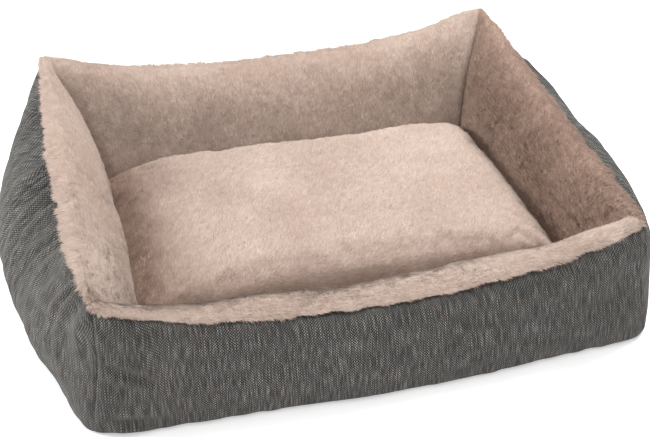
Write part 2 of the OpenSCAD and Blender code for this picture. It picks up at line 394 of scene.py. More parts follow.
def fold(skin, side, start, end, width, depth):
    """A crease in one wall's cloth. start and end are (along, up) in metres on the cloth."""
    here = skin.wall_of[None, :] == SIDES.index(side)
    place = np.stack([skin.along, skin.up], axis=-1)
    a, b = np.array(start), np.array(end)
    share = np.clip(((place - a) @ (b - a)) / ((b - a) @ (b - a)), 0, 1)
    off = place - (a + share[..., None] * (b - a))
    distance = np.linalg.norm(off, axis=-1)
    fade = np.sin(np.pi * np.clip(share, 0.02, 0.98)) ** 0.5
    groove = -np.exp(-(distance / width) ** 2)
    lip = 0.6 * np.exp(-((distance - 1.9 * width) / width) ** 2)
    return here * fade * (groove + lip) * depth


# ---------------------------------------------------------------- canvas outside

CANVAS_ROWS = 85
# How much each wall's canvas is gathered into the rim seam, in mm, and how far down it shows
RIM_GATHERS = {"front": (1.2, 40), "right": (6.0, 62), "back": (1.6, 40), "left": (6.0, 62)}
GATHER_SPACING = 29 * MM
# How far the folds slant along the wall as they run down it
FOLD_SLANT = {"front": 0, "right": 0.35, "back": 0, "left": -0.35}

# wall, start and end on the cloth as (along, up), width and depth
CREASES = [
    ("front", (0.385, 0.150), (0.440, 0.095), 5 * MM, 3.5 * MM),
    ("front", (0.005, 0.085), (0.065, 0.060), 5 * MM, 4 * MM),
    ("front", (0.015, 0.020), (0.070, 0.012), 6 * MM, 4 * MM),
    ("front", (0.640, 0.150), (0.590, 0.060), 12 * MM, 3 * MM),
    ("left", (0.420, 0.060), (0.500, 0.040), 7 * MM, 3 * MM),
]


def canvas_skin():
    skin = Skin(0, SEAM_ROW, CANVAS_ROWS, 3.2, lambda r: 0 * r + 1.0 * MM)
    up, along, corner = skin.up, skin.along, skin.corner
    down = up[-1:] - up
    gather = np.zeros_like(up)
    for k, side in enumerate(SIDES):
        height, reach = RIM_GATHERS[side]
        half = along[:, skin.wall_of == k].max() / 2
        slant = FOLD_SLANT[side] or 0.9 * (along - half) / half
        lean = along + slant * down
        wobble = noise(flat3(lean, down * 0.3), 45 * MM, 5 + k)
        ridges = np.sin(2 * math.pi * (lean / GATHER_SPACING + 0.5 * wobble))
        strength = np.clip(0.7 + 0.9 * noise(flat3(lean, down * 0.3), 50 * MM, 15 + k), 0.35, 1.4)
        broad = noise(flat3(lean, down * 0.2), 55 * MM, 25 + k)
        here = (skin.wall_of == k)[None] * np.clip(corner / (22 * MM), 0, 1)
        gather += here * (ridges * strength + broad) * height * MM * np.exp(-down / (reach * MM))
    lumps = noise(skin.points, 110 * MM, 1) * 2.6 * MM + noise(skin.points, 42 * MM, 2) * 1.0 * MM
    puckers = noise(flat3(up, corner * 0.25), 12 * MM, 3) * 0.9 * MM * np.exp(-corner / (20 * MM))
    foot = noise(flat3(along, up * 0.3), 16 * MM, 4) * 1.2 * MM * np.exp(-up / (18 * MM))
    calm = 1 - np.exp(-(down / (6 * MM)) ** 2)
    swell = 9 * MM * np.exp(-(corner / (70 * MM)) ** 2) * (1 - smoothstep(0, 75 * MM, up))
    creases = sum(fold(skin, *crease) for crease in CREASES)
    low = (1 - smoothstep(10 * MM, 70 * MM, up))[..., None]
    skin.set(mix(skin.points, smooth_round(skin.points, 8), low))
    skin.push((lumps + gather + puckers + foot + swell + creases) * calm)
    skin.set(skin.points + ring_simulation(skin.points, skin.starts[:4], 2.0, 0.01, 5 * MM, 8.0, 2.0))
    # seams: a groove down each corner, the rim tucked under the plush, the foot turned under
    up, corner = skin.up, skin.corner
    down = up[-1:] - up
    groove = -2.2 * MM * np.exp(-(corner / (2.6 * MM)) ** 2)
    tuck = -5 * MM * np.exp(-(down / (6 * MM)) ** 2)
    turn = 9 * MM
    under = -4.5 * MM * (1 - np.sqrt(1 - np.clip(1 - up / turn, 0, 1) ** 2))
    skin.push(groove * (1 - np.exp(-up / turn)) + tuck + under)
    skin.points[..., 2] = np.maximum(skin.points[..., 2], 0.4 * MM)
    return skin


# ---------------------------------------------------------------- plush inside

PLUSH_ROWS = 111
PILE_DEPTH = 4 * MM


def round_over(points, rows):
    """Softens a grid across its rows, over about that many of them, and keeps its two edges."""
    reach = int(3 * rows)
    padded = np.concatenate([2 * points[:1] - points[reach:0:-1], points,
                             2 * points[-1:] - points[-2:-reach - 2:-1]])
    weights = np.exp(-0.5 * (np.arange(-reach, reach + 1) / rows) ** 2)
    weights /= weights.sum()
    return sum(w * padded[k:k + len(points)] for k, w in enumerate(weights))


def round_crest(points, rows):
    """Rounds a ridge over about that many rows, and gives back most of the height this costs."""
    smooth = round_over(points, rows)
    return smooth + round_over(points - smooth, rows)


def plush_skin():
    def depth(r):
        upper = mix(3.0 * MM, PILE_DEPTH, smoothstep(SEAM_ROW, SEAM_ROW + 0.8, r))
        return mix(upper, 1 * MM, smoothstep(8.5, 10, r))

    skin = Skin(SEAM_ROW, LAST_ROW, PLUSH_ROWS, 4.5, depth)
    place = skin.points
    lumps = noise(place, 70 * MM, 21) * 2.2 * MM + noise(place, 28 * MM, 22) * 0.8 * MM
    drapes = noise(flat3(skin.along, skin.up * 0.15), 36 * MM, 23) * 2.4 * MM
    inner = smoothstep(6.5, 8, skin.r)[:, None] * (1 - smoothstep(9.5, 10.5, skin.r))[:, None]
    edge = np.clip(skin.corner / (25 * MM), 0, 1)
    skin.push((lumps + drapes * inner) * edge)
    skin.set(skin.points + ring_simulation(skin.points, skin.starts[:4], 2.0, 0.012, 5 * MM, 0.5, 1.0))
    skin.set(round_crest(skin.points, 8.5))
    crease = -2.5 * MM * np.exp(-(skin.corner / (4 * MM)) ** 2) * smoothstep(6.5, 7.5, skin.r)[:, None]
    skin.push(crease)
    return skin


# ---------------------------------------------------------------- pile

FIBRES = 66000
NAP_SEED = 400
# How far each wall's nap slants along the wall on its way over the crest
NAP_SLANT = {"front": 0.3, "right": 0.3, "back": 0.3, "left": -0.3}


def pile_roots(grid, normals, count, rng, keep=None):
    """Random points spread evenly over a grid of points, as positions, normals and grid places."""
    a, b = grid[:-1, :-1], grid[:-1, 1:]
    c, d = grid[1:, 1:], grid[1:, :-1]
    area = np.linalg.norm(np.cross(c - a, d - b), axis=-1) / 2
    if keep is not None:
        area = area * (keep[:-1, :-1] + keep[1:, 1:]) / 2
    run = np.cumsum(area.ravel())
    cell = np.searchsorted(run, rng.random(count) * run[-1])
    i, j = np.unravel_index(np.minimum(cell, area.size - 1), area.shape)
    f, g = rng.random(count)[:, None], rng.random(count)[:, None]

    def at(values):
        low = mix(values[i, j], values[i, j + 1], g)
        high = mix(values[i + 1, j], values[i + 1, j + 1], g)
        return mix(low, high, f)

    return at(grid), unit(at(normals)), i + f[:, 0], j + g[:, 0]


def pile_pieces(name, grid, flow, seed, layers=2, **looks):
    """Several pieces of the same pile, each within the size that is exported whole."""
    return [pile_object(f"{name}_{k + 1}", grid, flow, FIBRES, seed + 37 * k, **looks)
            for k in range(layers)]


def pile_object(name, grid, flow, count, seed, length=5.5 * MM, width=1.2 * MM, lean=1.05,
                keep=None, grow=None, tones=None, dark=0.0, contrast=1.0, tuft=4 * MM,
                wander=0.4, ruffle=0.85):
    """Plush pile on a grid of points: three-sided tapering fibres gathered into small tufts,
    longer where grow is over 1.
    flow is the way the nap lies at each grid point, shorter where it stands more upright; dark
    shifts the mix of tones."""
    rng = np.random.default_rng(seed)
    root, up, i, j = pile_roots(grid, grid_normals(grid), count, rng, keep)
    spot = (i.astype(int), j.astype(int))
    lay = flow[spot]
    lying = np.clip(np.linalg.norm(lay, axis=1), 0, 1)
    lay = unit(lay - (lay * up).sum(1, keepdims=True) * up)
    across = np.cross(up, lay)
    # the nap wanders: broad brushed patches, then tufts
    turn = noise(root, 60 * MM, NAP_SEED) * 0.4 + noise(root, 7 * MM, NAP_SEED + 1) * wander
    turn = turn + rng.normal(0, 0.3, count)
    lay = lay * np.cos(turn)[:, None] + across * np.sin(turn)[:, None]
    lean = lean + 0.2 * ruffle * noise(root, 8 * MM, NAP_SEED + 2) + rng.normal(0, 0.1, count)
    lean = np.clip(lean * lying, 0.0, 1.35)
    reach = length * (1 + 0.15 * noise(root, 9 * MM, NAP_SEED + 3) + rng.normal(0, 0.12, count))
    if grow is not None:
        longer = grow[spot]
        reach = reach * longer
    direction = up * np.cos(lean)[:, None] + lay * np.sin(lean)[:, None]
    tip = root + direction * reach[:, None]
    # tufts: tips drift towards the middles of small cells, and a little towards larger ones
    for size, share in ((tuft, 0.3), (2.4 * tuft, 0.14)):
        share = share * ruffle
        if grow is not None:
            share = share * np.clip(longer, 1, 1.6)[:, None]
        cell = np.floor(root / size)
        wobble = np.stack([lattice(cell, NAP_SEED + k) for k in (4, 5, 6)], axis=-1)
        pull = (cell + 0.5 + 0.35 * wobble) * size - root
        tip = tip + (pull - (pull * up).sum(1, keepdims=True) * up) * share
    along = unit(tip - root)
    first = unit(np.cross(along, up) + 1e-9)
    second = np.cross(along, first)
    angles = [2 * math.pi * k / 3 + math.pi / 6 for k in range(3)]
    sides = [first * math.cos(angle) + second * math.sin(angle) for angle in angles]
    corners = [root - up * 0.5 * MM + side * width / 2 for side in sides]
    verts = np.stack([*corners, tip], axis=1).reshape(-1, 3)
    base = np.arange(count)[:, None] * 4
    faces = np.stack([base + [k, (k + 1) % 3, 3] for k in range(3)], axis=1).reshape(-1, 3)
    obj = make_object(name, verts, faces)
    # each fibre is shaded partly like the surface it stands on and partly by its own round sides
    bent = up + direction * 0.25 * ruffle + rng.normal(0, 0.1 * ruffle, (count, 3))
    shading = np.stack([bent + side * 0.6 for side in sides] + [bent], axis=1)
    obj.data.normals_split_custom_set_from_vertices(unit(shading).reshape(-1, 3))
    tones = tones or PILE_TONES
    for material in tones:
        obj.data.materials.append(material)
    pick = noise(root, 60 * MM, NAP_SEED + 8) * 0.5 + noise(root, 5 * MM, NAP_SEED + 9) * 0.5
    pick = (pick + rng.normal(0, 0.5, count)) * contrast - (dark if np.isscalar(dark) else dark[spot])
    shade = np.clip(np.round((pick / 3 + 0.5) * (len(tones) - 1)), 0, len(tones) - 1)
    obj.data.polygons.foreach_set("material_index", np.repeat(shade.astype(np.int32), 3))
    return obj


# ---------------------------------------------------------------- materials

def new_material(name):
    material = bpy.data.materials.new(name)
    material.use_nodes = True
    tree = material.node_tree
    return material, tree, tree.nodes["Principled BSDF"]


def srgb(*values):
    """Linear colour from 0 to 255 display values."""
    c = np.array(values) / 255
    return (*np.where(c <= 0.04045, c / 12.92, ((c + 0.055) / 1.055) ** 2.4), 1.0)


def node(tree, kind, inputs=None, **settings):
    made = tree.nodes.new(kind)
    for key, value in settings.items():
        setattr(made, key, value)
    for key, value in (inputs or {}).items():
        if isinstance(value, bpy.types.NodeSocket):
            tree.links.new(value, made.inputs[key])
        else:
            made.inputs[key].default_value = value
    return made


def ramp(tree, factor, *stops):
    made = tree.nodes.new("ShaderNodeValToRGB")
    tree.links.new(factor, made.inputs["Fac"])
    elements = made.color_ramp.elements
    while len(elements) < len(stops):
        elements.new(0.5)
    for element, (position, colour) in zip(elements, stops):
        element.position = position
        element.color = colour
    return made.outputs["Color"]


def math_node(tree, operation, a, b=0.0, c=None):
    inputs = {0: a, 1: b}
    if c is not None:
        inputs[2] = c
    return node(tree, "ShaderNodeMath", inputs, operation=operation).outputs[0]


def canvas_material(name, thread=1.6 * MM):
    """A coarse melange weave: upright warp threads in mixed greys, some pale and some brown,
    with a darker weft showing between them in a checked pattern."""
    material, tree, shader = new_material(name)
    coords = node(tree, "ShaderNodeTexCoord").outputs["UV"]

    def streaks(across, along, seed, detail=2.0):
        place = node(tree, "ShaderNodeMapping", {
            "Vector": coords, "Scale": (1 / across, 1 / along, 1), "Location": (seed, seed, 0)})
        return node(tree, "ShaderNodeTexNoise", {"Vector": place.outputs[0], "Scale": 1.0,
                                                 "Detail": detail, "Roughness": 0.65},
                    noise_dimensions="2D").outputs["Fac"]

    warp = ramp(tree, streaks(0.8 * thread, 22 * MM, 3.0),
                (0.3, srgb(64, 64, 62)), (0.5, srgb(95, 94, 91)), (0.76, srgb(172, 170, 166)))
    brown = math_node(tree, "MULTIPLY_ADD", streaks(1.2 * thread, 9 * MM, 9.0), 9.0, -5.5)
    warp = node(tree, "ShaderNodeMix", {0: brown, 6: warp, 7: srgb(148, 122, 102)},
                data_type="RGBA", clamp_factor=True).outputs[2]
    weft = ramp(tree, streaks(24 * MM, 1.1 * thread, 5.0),
                (0.35, srgb(12, 12, 12)), (0.7, srgb(34, 33, 32)))
    split = node(tree, "ShaderNodeSeparateXYZ", {"Vector": coords})
    wave = [math_node(tree, "SINE", math_node(tree, "MULTIPLY", split.outputs[k], math.pi / thread))
            for k in (0, 1)]
    over = math_node(tree, "MULTIPLY", wave[0], wave[1])
    weave = node(tree, "ShaderNodeMix", {0: math_node(tree, "MULTIPLY_ADD", over, 1.7, 0.46),
                                         6: weft, 7: warp},
                 data_type="RGBA", clamp_factor=True).outputs[2]
    worn = node(tree, "ShaderNodeTexNoise", {
        "Vector": node(tree, "ShaderNodeTexCoord").outputs["Object"], "Scale": 14.0,
        "Detail": 5.0}).outputs["Fac"]
    shade = ramp(tree, worn, (0.3, (0.86, 0.86, 0.87, 1)), (0.7, (1.1, 1.1, 1.09, 1)))
    final = node(tree, "ShaderNodeMix", {0: 1.0, 6: weave, 7: shade}, data_type="RGBA",
                 blend_type="MULTIPLY").outputs[2]
    tree.links.new(final, shader.inputs["Base Color"])
    bump = node(tree, "ShaderNodeBump", {"Height": over, "Distance": 0.25 * MM, "Strength": 0.8})
    tree.links.new(bump.outputs[0], shader.inputs["Normal"])
    shader.inputs["Roughness"].default_value = 0.8
    shader.inputs["Specular IOR Level"].default_value = 0.35
    return material


def backing_material(name, root, tip):
    """The knitted ground of the plush, seen between the fibres."""
    material, tree, shader = new_material(name)
    coords = node(tree, "ShaderNodeTexCoord").outputs["Object"]
    tufts = node(tree, "ShaderNodeTexVoronoi", {"Vector": coords, "Scale": 150.0})
    broad = node(tree, "ShaderNodeTexNoise", {"Vector": coords, "Scale": 30.0, "Detail": 6.0})
    both = math_node(tree, "MULTIPLY_ADD", tufts.outputs["Distance"], 0.5, broad.outputs["Fac"])
    tree.links.new(ramp(tree, both, (0.3, srgb(*tip)), (0.95, srgb(*root))),
                   shader.inputs["Base Color"])
    bump = node(tree, "ShaderNodeBump", {"Height": both, "Distance": 1.5 * MM, "Strength": 0.7})
    tree.links.new(bump.outputs[0], shader.inputs["Normal"])
    shader.inputs["Roughness"].default_value = 1.0
    shader.inputs["Specular IOR Level"].default_value = 0.1
    return material


def fibre_material(name, colour):
    """One tone of fibre: soft, with light caught along its length."""
    material, _, shader = new_material(name)
    shader.inputs["Base Color"].default_value = srgb(*colour)
    shader.inputs["Roughness"].default_value = 0.75
    shader.inputs["Specular IOR Level"].default_value = 0.2
    shader.inputs["Sheen Weight"].default_value = 0.15
    shader.inputs["Sheen Roughness"].default_value = 0.4
    shader.inputs["Sheen Tint"].default_value = srgb(255, 240, 228)
    return material


def fibre_tones(name, deep, pale, shades=7):
    """Fibre materials from the deepest shade to the palest."""
    return [fibre_material(f"{name}_{k}", [mix(a, b, k / (shades - 1)) for a, b in zip(deep, pale)])
            for k in range(shades)]


def woven_material(name, dark, pale, pitch):
    """A fine plain cloth for the base and the zip's tapes."""
    material, tree, shader = new_material(name)
    coords = node(tree, "ShaderNodeTexCoord").outputs["Object"]
    split = node(tree, "ShaderNodeSeparateXYZ", {"Vector": coords})
    rise = math_node(tree, "ADD", split.outputs[1], split.outputs[2])
    wave = [math_node(tree, "SINE", math_node(tree, "MULTIPLY", axis, math.pi / pitch))
            for axis in (split.outputs[0], rise)]
    over = math_node(tree, "MULTIPLY", wave[0], wave[1])
    fleck = node(tree, "ShaderNodeTexNoise", {"Vector": coords, "Scale": 180.0}).outputs["Fac"]
    tone = math_node(tree, "MULTIPLY_ADD", over, 0.35, fleck)
    tree.links.new(ramp(tree, tone, (0.2, srgb(*dark)), (0.85, srgb(*pale))),
                   shader.inputs["Base Color"])
    bump = node(tree, "ShaderNodeBump", {"Height": over, "Distance": 0.2 * MM, "Strength": 0.6})
    tree.links.new(bump.outputs[0], shader.inputs["Normal"])
    shader.inputs["Roughness"].default_value = 0.9
    return material


def plain_material(name, dark, pale, scale, roughness, metal=0.0):
    """A moulded or cast material with a faint mottle and fine surface grain."""
    material, tree, shader = new_material(name)
    coords = node(tree, "ShaderNodeTexCoord").outputs["Object"]
    grain = node(tree, "ShaderNodeTexNoise", {"Vector": coords, "Scale": scale, "Detail": 4.0})
    tree.links.new(ramp(tree, grain.outputs["Fac"], (0.3, srgb(*dark)), (0.7, srgb(*pale))),
                   shader.inputs["Base Color"])
    bump = node(tree, "ShaderNodeBump", {"Height": grain.outputs["Fac"], "Distance": 0.05 * MM,
                                         "Strength": 0.5})
    tree.links.new(bump.outputs[0], shader.inputs["Normal"])
    shader.inputs["Roughness"].default_value = roughness
    shader.inputs["Metallic"].default_value = metal
    return material


def wadding_material(name):
    """Loose white polyester fibre."""
    material, tree, shader = new_material(name)
    coords = node(tree, "ShaderNodeTexCoord").outputs["Object"]
    strands = node(tree, "ShaderNodeTexNoise", {"Vector": coords, "Scale": 60.0, "Detail": 8.0,
                                                "Distortion": 1.5})
    tree.links.new(ramp(tree, strands.outputs["Fac"], (0.35, srgb(205, 205, 200)),
                        (0.65, srgb(244, 244, 240))), shader.inputs["Base Color"])
    bump = node(tree, "ShaderNodeBump", {"Height": strands.outputs["Fac"], "Distance": 2 * MM})
    tree.links.new(bump.outputs[0], shader.inputs["Normal"])
    shader.inputs["Roughness"].default_value = 1.0
    return material


BASE_CLOTH = woven_material("base_cloth", (38, 38, 39), (64, 64, 65), 0.8 * MM)
ZIP_TAPE = woven_material("zip_tape", (96, 88, 82), (124, 116, 108), 0.7 * MM)
DOT_RUBBER = plain_material("dot_rubber", (30, 30, 31), (48, 48, 49), 400.0, 0.55)
ZIP_TEETH = plain_material("zip_nylon", (92, 84, 78), (112, 104, 97), 500.0, 0.4)
ZIP_METAL = plain_material("zip_metal", (168, 164, 158), (196, 192, 186), 700.0, 0.32, metal=1.0)
PILE_TONES = fibre_tones("pile", (158, 135, 121), (201, 184, 173))
# The cushion's tones reach deeper shades than the walls', for the painted shade at its left end
CUSHION_TONES = fibre_tones("cushion_pile", (136, 112, 99), (201, 184, 173), 11)
# Darker copies of the pile's tones for the right wall: painted shade
PAINTED_SHADE_TONES = fibre_tones("painted_shade_pile", (106, 83, 71), (174, 149, 134))
CANVAS = canvas_material("melange_canvas")
BACKING = backing_material("plush_ground", (164, 140, 127), (194, 173, 160))
WADDING = wadding_material("polyester_wadding")
# The right wall's pile is brushed the wrong way in patches, so it is more tufted; its darker tones are
# painted shade
PILE_LOOKS = {
    "front": {"tones": PILE_TONES, "ruffle": 0.7},
    "right": {"tones": PAINTED_SHADE_TONES, "ruffle": 1.5, "tuft": 5 * MM, "wander": 0.8},
    # the back wall's tones are shifted a little darker: painted shade
    "back": {"tones": PILE_TONES, "ruffle": 1.4, "wander": 0.6, "dark": 0.2},
    "left": {"tones": PILE_TONES, "ruffle": 1.0},
}


def dress(obj, body, slot, material, *nodes):
    """Gives a piece its material and body, and hides the CAD nodes it stands for; slot is not used."""
    if material is not None:
        obj.data.materials.append(material)
    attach(obj, body)
    if nodes:
        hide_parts(*nodes)
    return obj


# ---------------------------------------------------------------- building the walls


def build_walls():
    canvas, plush = canvas_skin(), plush_skin()
    for k, side in enumerate(SIDES):
        grid = canvas.panel(side)
        panel = cloth_object(f"canvas_{side}", grid, canvas.panel_uv(side), 1.2 * MM)
        dress(panel, "bed", "grey_canvas", CANVAS, f"outer_panel_{side}")

        grid = plush.panel(side)
        lining = cloth_object(f"plush_{side}", grid, plush.panel_uv(side))
        dress(lining, "bed", "wall_plush", BACKING, f"wall_lining_{side}")
        # the nap is brushed one way: up the inner face, over the crest and down to the seam
        up_cloth, along_cloth = unit(np.gradient(grid, axis=0)), unit(np.gradient(grid, axis=1))
        rows = plush.r[:, None]
        crest = smoothstep(SEAM_ROW + 0.3, SEAM_ROW + 1.1, rows) * (1 - smoothstep(7, 8.2, rows))
        crest = crest * (1.0 if side == "front" else 0.4)
        lying = mix(0.62, 1.0, np.maximum(crest, rows < SEAM_ROW + 1))
        flow = unit(along_cloth * NAP_SLANT[side] - up_cloth) * lying[..., None]
        clear = (grid[..., 2] > FLOOR_TOP + 12 * MM).astype(float)
        # long tufts hang over the seam
        shaggy = 1 - smoothstep(SEAM_ROW, SEAM_ROW + 1.2, plush.r)[:, None]
        grow = 1 + shaggy * (0.65 + 0.7 * noise(grid, 14 * MM, 61)) - 0.3 * crest
        piles = pile_pieces(f"pile_{side}", grid, flow, 100 + 20 * k, keep=clear, grow=grow,
                            lean=1.3, **PILE_LOOKS[side])
        for pile in piles:
            dress(pile, "bed", "wall_plush", None)
        filling_piece(side)


def filling_piece(side):
    """The stuffing of one wall: a closed form, each section drawn in towards its own middle."""
    wall = WALLS[SIDES.index(side)]
    r = section_rows(0, LAST_ROW, 46)
    t = np.linspace(0.05, 0.95, 60)
    grid = wall_surface(wall, r[:, None], t[None, :])
    grid = mix(grid.mean(axis=0, keepdims=True), grid, 0.78)
    grid = grid + grid_normals(grid) * (noise(grid, 30 * MM, 31) * 1.5 * MM)[..., None]
    grid[..., 2] = np.maximum(grid[..., 2], BASE_TOP + 1 * MM)
    rows, columns = grid.shape[:2]
    around = np.concatenate([grid, (grid[:1] + grid[-1:]) / 2])
    faces = grid_faces(rows + 1, columns)
    bottom = np.stack([np.arange(columns - 1) + rows * columns, np.arange(1, columns) + rows * columns,
                       np.arange(1, columns), np.arange(columns - 1)], axis=-1)
    pairs = (rows + 1) // 2
    caps = []
    for column, flip in ((0, False), (columns - 1, True)):
        low = np.arange(pairs - 1)
        quad = np.stack([low, low + 1, rows - low - 1, rows - low], axis=-1) * columns + column
        caps.append(quad[:, ::-1] if flip else quad)
    faces = np.concatenate([faces, bottom, *caps])
    obj = make_object(f"stuffing_{side}", around.reshape(-1, 3), faces)
    dress(obj, "bed", "fibre_fill", WADDING, f"wall_filling_{side}")


# ---------------------------------------------------------------- floor of the well

def build_floor():
    low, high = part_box("floor_lining")
    x = np.linspace(low.x, high.x, 90)
    y = np.linspace(low.y, high.y, 60)
    grid = flat3(x[None, :], y[:, None], np.full((60, 90), high.z))
    inset = np.minimum(np.minimum(x - low.x, high.x - x)[None, :],
                       np.minimum(y - low.y, high.y - y)[:, None])
    grid[..., 2] -= 2 * MM * np.exp(-inset / (8 * MM)) + 0.5 * MM * (1 + noise(grid, 40 * MM, 41))
    cloth = cloth_object("plush_floor", grid, grid[..., :2])
    dress(cloth, "bed", "wall_plush", BACKING, "floor_lining")
    build_base_padding()
    build_underside()


def build_base_padding():
    """The wadding under the floor: a closed slab with a full, rounded edge."""
    low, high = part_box("base_padding")
    around = np.linspace(-math.pi, math.pi, 161)[:-1]
    half_x, half_y = (high.x - low.x) / 2, (high.y - low.y) / 2
    middle = (low + high) / 2
    half_z = (high.z - low.z) / 2
    square = 1 / 6
    outline = np.stack([half_x * np.sign(np.cos(around)) * np.abs(np.cos(around)) ** square,
                        half_y * np.sign(np.sin(around)) * np.abs(np.sin(around)) ** square], axis=-1)
    rings = []
    for turn in np.linspace(-math.pi / 2, math.pi / 2, 17):
        inset = 1 - (1 - math.cos(turn)) * half_z / half_y
        level = np.full(len(outline), middle.z + half_z * math.sin(turn))
        rings.append(flat3(middle.x + outline[:, 0] * inset, middle.y + outline[:, 1] * inset, level))
    grid = np.stack(rings)
    rows, columns = grid.shape[:2]
    centres = [[middle.x, middle.y, low.z], [middle.x, middle.y, high.z]]
    verts = np.concatenate([grid.reshape(-1, 3), centres])
    quads = grid_faces(rows, columns, closed=True)
    faces = [quads[:, [0, 1, 2]], quads[:, [0, 2, 3]]]
    ring = np.arange(columns)
    for first, centre, flip in ((0, rows * columns, True), ((rows - 1) * columns, rows * columns + 1, False)):
        fan = np.stack([ring + first, np.roll(ring, -1) + first, np.full(columns, centre)], axis=-1)
        faces.append(fan[:, ::-1] if flip else fan)
    pad = make_object("wadding_floor", verts, np.concatenate(faces))
    dress(pad, "bed", "fibre_fill", WADDING, "base_padding")


def build_underside():
    """The non-slip cloth under the bed, a little inside the walls' turned foot, with its dots."""
    t = np.arange(60) / 60
    foot = np.concatenate([wall_surface(wall, np.zeros(60), t) for wall in WALLS])[:, :2]
    middle = foot.mean(axis=0)
    reach = np.linalg.norm(foot - middle, axis=1, keepdims=True)
    rings = [foot - (foot - middle) / reach * 9 * MM]
    for share in np.linspace(0.9, 0.1, 9):
        rings.append(middle + (rings[0] - middle) * share)
    flat = np.stack(rings)
    grid = flat3(flat[..., 0], flat[..., 1], np.full(flat.shape[:2], 0.9 * MM))
    verts = np.concatenate([grid.reshape(-1, 3), [[*middle, 0.9 * MM]]])
    rows, columns = grid.shape[:2]
    quads = grid_faces(rows, columns, closed=True)
    last = (rows - 1) * columns + np.arange(columns)
    centre = np.stack([last, np.roll(last, -1), np.full(columns, len(verts) - 1)], axis=-1)
    triangles = np.concatenate([quads[:, [0, 1, 2]], quads[:, [0, 2, 3]], centre])
    cloth = make_object("base_cloth", verts, triangles[:, ::-1], verts[:, :2])
    dress(cloth, "bed", "base_cloth", BASE_CLOTH, "base_panel")
    non_slip_dots(rings[0])


def non_slip_dots(outline):
    """Small raised dots in a staggered pattern on the underside."""
    pitch, radius = 12 * MM, 1.6 * MM
    half = outline.max(axis=0)
    rows = np.arange(int(2 * half[1] / (pitch * 0.87)) + 1)
    columns = np.arange(-half[0], half[0], pitch)
    x, row = np.meshgrid(columns, rows)
    x = x + (row % 2) * pitch / 2
    y = row * pitch * 0.87 - half[1]
    bearing = np.arctan2(outline[:, 1], outline[:, 0])
    order = np.argsort(bearing)
    limit = np.interp(np.arctan2(y, x), bearing[order],
                      np.linalg.norm(outline, axis=1)[order], period=2 * math.pi)
    inside = np.hypot(x, y) < limit - 12 * MM
    places = np.stack([x[inside], y[inside]], axis=-1)
    angle = np.arange(6) * math.pi / 3
    rim = np.stack([np.cos(angle), np.sin(angle)], axis=-1) * radius
    low = places[:, None] + rim * 0.55
    high = places[:, None] + rim
    n = len(places)
    verts = np.concatenate([flat3(high[..., 0], high[..., 1], np.full((n, 6), 0.9 * MM)),
                            flat3(low[..., 0], low[..., 1], np.full((n, 6), 0.1 * MM))], axis=1)
    k = np.arange(6)
    k2 = (k + 1) % 6
    ring = np.stack([k, k + 6, k2 + 6], axis=-1)
    ring2 = np.stack([k, k2 + 6, k2], axis=-1)
    cap = np.array([[6, 8, 7], [6, 9, 8], [6, 10, 9], [6, 11, 10]])
    one = np.concatenate([ring[:, ::-1], ring2[:, ::-1], cap])
    faces = (np.arange(n)[:, None, None] * 12 + one).reshape(-1, 3)
    return dress(make_object("non_slip_dots", verts.reshape(-1, 3), faces), "bed", "base_cloth",
                 DOT_RUBBER)


# ---------------------------------------------------------------- cushion

CUSHION_MIDDLE = (CUSHION_LOW.y + CUSHION_HIGH.y) / 2
CUSHION_HALF_X = (CUSHION_HIGH.x - CUSHION_LOW.x) / 2 + COVER_THICKNESS
CUSHION_HALF_Y = (CUSHION_HIGH.y - CUSHION_LOW.y) / 2 + COVER_THICKNESS
CUSHION_CROWN = CUSHION_HIGH.z + COVER_THICKNESS - SEAM_LEVEL
CORNER_TUCK = 0.015
CUSHION_BULGE = 7 * MM
CUSHION_UNDER = SEAM_LEVEL - CUSHION_LOW.z + COVER_THICKNESS


def edge_round(u, first=14, last=14):
    """The stuffing's round edges, squarer for higher powers: first where u is negative, then last."""
    return np.sqrt(np.clip(1 - np.abs(u) ** np.where(u < 0, first, last), 0, 1))


def spread_out(half, rise, count):
    """Values from -1 to 1 that are evenly spaced along the rounded face of the cushion."""
    u = np.sin(np.linspace(-math.pi / 2, math.pi / 2, 4001))
    run = np.concatenate([[0], np.cumsum(np.hypot(np.diff(u * half), np.diff(rise * edge_round(u))))])
    return np.interp(np.linspace(0, run[-1], count), run, u)


def cushion_grid(side, depth, columns=130, rows=88):
    """One face of the cushion; side is 1 for the top and -1 for the underside."""
    u = spread_out(CUSHION_HALF_X, CUSHION_CROWN, columns)[None, :]
    v = spread_out(CUSHION_HALF_Y, CUSHION_CROWN, rows)[:, None]
    u, v = np.broadcast_arrays(u, v)
    x = (CUSHION_HALF_X - depth) * u * (1 - CORNER_TUCK * np.abs(v) ** 6)
    y = (CUSHION_HALF_Y - depth) * v * (1 - CORNER_TUCK * np.abs(u) ** 6)
    # the stuffing bulges into the room beside the leaning walls, except at the zip
    x = x + CUSHION_BULGE * u ** 3 * (1 - np.clip(v, 0, 1) ** 4)
    y = y - 1.3 * CUSHION_BULGE * np.clip(-v, 0, 1) ** 3
    if side > 0:
        rise, fall = CUSHION_CROWN, 0.14 * u * u + np.where(v < 0, 0.24, 0.14) * v * v
    else:
        rise, fall = CUSHION_UNDER, 0
    # the stuffing has settled towards the right, so the left end slopes more
    lift = (rise - depth) * edge_round(u, first=4.5) * edge_round(v, first=30) * (1 - fall)
    return np.stack([x, CUSHION_MIDDLE + y, SEAM_LEVEL + side * lift], axis=-1)


def zip_share(points):
    """1 on the band of the back edge where the zip is sewn in, 0 away from it."""
    low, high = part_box("zip_tapes")
    beside = smoothstep(low.x - 14 * MM, low.x - 4 * MM, points[..., 0]) * (
        1 - smoothstep(high.x + 4 * MM, high.x + 14 * MM, points[..., 0]))
    level = smoothstep(low.z - 12 * MM, low.z - 3 * MM, points[..., 2]) * (
        1 - smoothstep(high.z + 3 * MM, high.z + 9 * MM, points[..., 2]))
    return beside * level * (points[..., 1] > CUSHION_MIDDLE)


